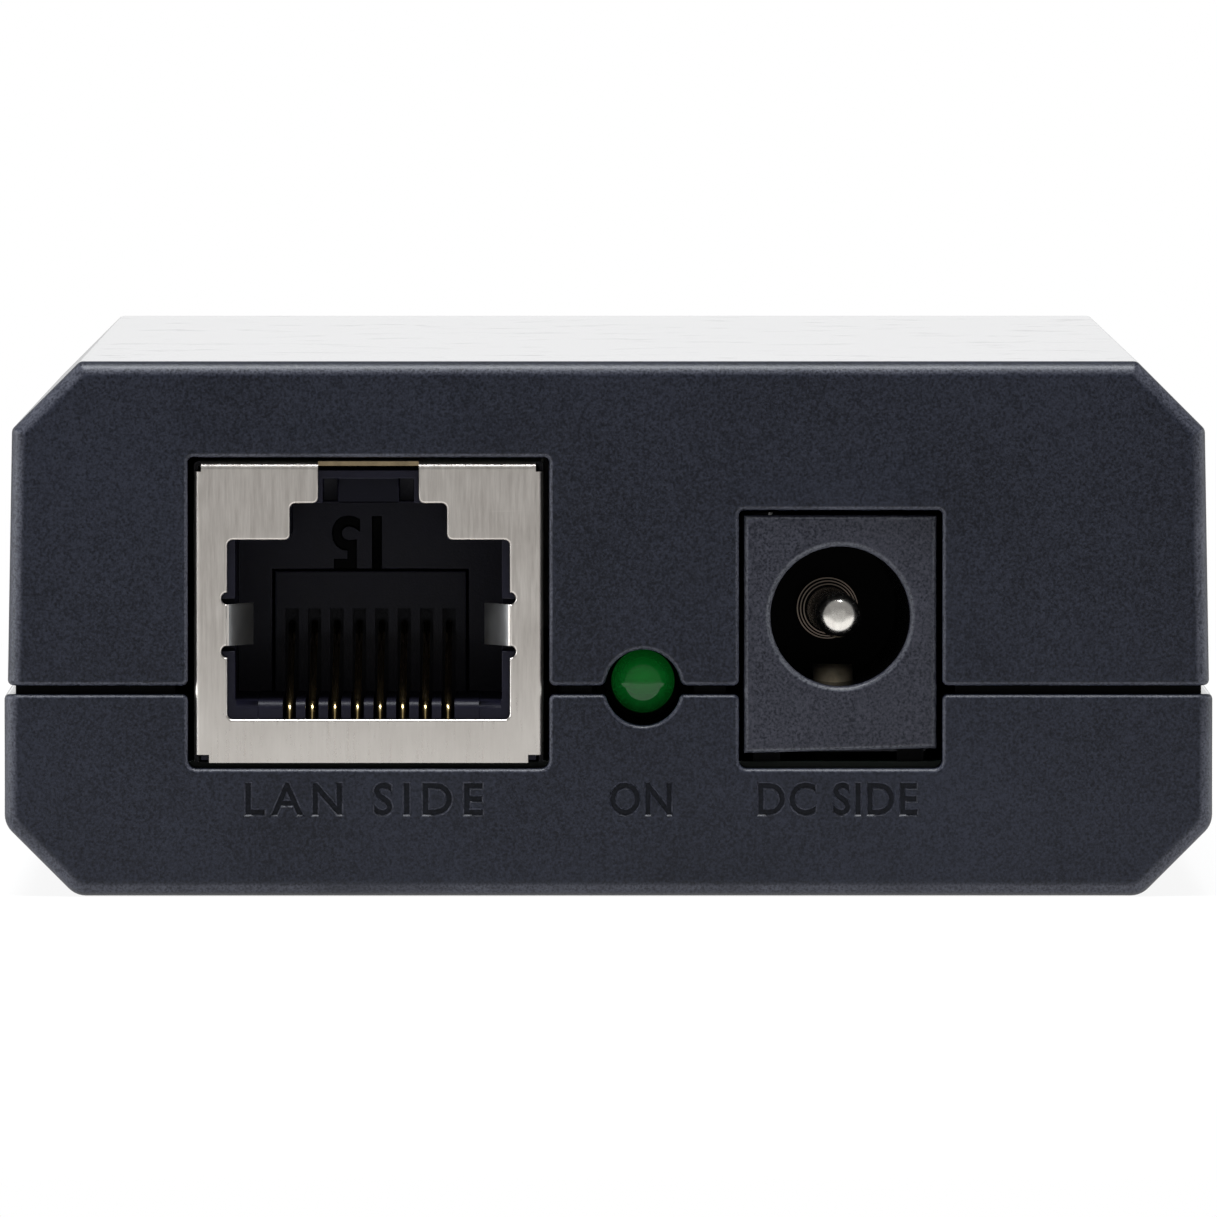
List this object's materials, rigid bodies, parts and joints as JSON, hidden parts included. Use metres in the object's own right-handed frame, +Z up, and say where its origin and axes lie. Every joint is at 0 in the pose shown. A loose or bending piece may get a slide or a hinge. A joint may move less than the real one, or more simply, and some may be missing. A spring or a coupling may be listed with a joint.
{
  "type": "poe splitter",
  "caption": "Black moulded box that splits a powered network cable into a shielded data jack and a round power jack, with a green lamp and a network inlet behind.",
  "frame": {"origin": "middle of the underside, where the box stands on a surface", "axes": "-Y out of the face with the data jack, lamp and power jack; +X to the right of that face; +Z up"},
  "size_m": [0.0542, 0.0808, 0.024],
  "materials": {
    "shell_plastic": "fine spark texture",
    "screw_steel": "zinc plated",
    "board_laminate": "solder mask",
    "shield_sheet": "nickel plated, fine vertical grain",
    "jack_plastic": "smooth moulding",
    "gold_contact": "gold plated",
    "power_jack_plastic": "satin moulding",
    "pin_metal": "nickel plated",
    "spring_metal": "plain",
    "lamp_green": "diffused green epoxy",
    "tinned_lead": "tinned",
    "lamp_holder": "moulded",
    "package_black": "moulded",
    "ferrite": "sintered",
    "bobbin_plastic": "moulded",
    "winding": "tape over enamelled wire",
    "copper_wire": "enamelled",
    "capacitor_can": "satin",
    "capacitor_blue": "coated",
    "chip_ceramic": "ceramic",
    "chip_resistor": "glazed"
  },
  "bodies": {
    "root": {"bridge_rectifiers": "package_black", "case_screws": "screw_steel", "chip_capacitors": "chip_ceramic", "chip_resistors": "chip_resistor", "circuit_board": "board_laminate", "data_out_jack_comb": "jack_plastic", "data_out_jack_contacts": "gold_contact", "data_out_jack_housing": "jack_plastic", "data_out_jack_shield": "shield_sheet", "dc_jack_body": "power_jack_plastic", "dc_jack_pin": "pin_metal", "dc_jack_rear_terminal": "tinned_lead", "dc_jack_side_terminal": "tinned_lead", "dc_jack_spring": "spring_metal", "input_capacitor_base": "bobbin_plastic", "input_capacitor_can": "capacitor_can", "input_choke_core": "ferrite", "input_choke_windings": "copper_wire", "isolation_capacitor": "capacitor_blue", "lan_transformer": "package_black", "lan_transformer_leads": "tinned_lead", "lower_shell": "shell_plastic", "optocoupler": "package_black", "output_capacitor": "winding", "output_diode": "package_black", "output_inductor": "ferrite", "pd_controller": "package_black", "poe_in_jack_comb": "jack_plastic", "poe_in_jack_contacts": "gold_contact", "poe_in_jack_housing": "jack_plastic", "poe_in_jack_shield": "shield_sheet", "power_led_holder": "lamp_holder", "power_led_leads": "tinned_lead", "power_led_lens": "lamp_green", "power_switch": "package_black", "power_transformer_bobbin": "bobbin_plastic", "power_transformer_core": "ferrite", "power_transformer_pins": "tinned_lead", "power_transformer_winding": "winding", "pulse_controller": "package_black", "surge_suppressor": "package_black", "upper_shell": "shell_plastic"}
  },
  "joints": []
}
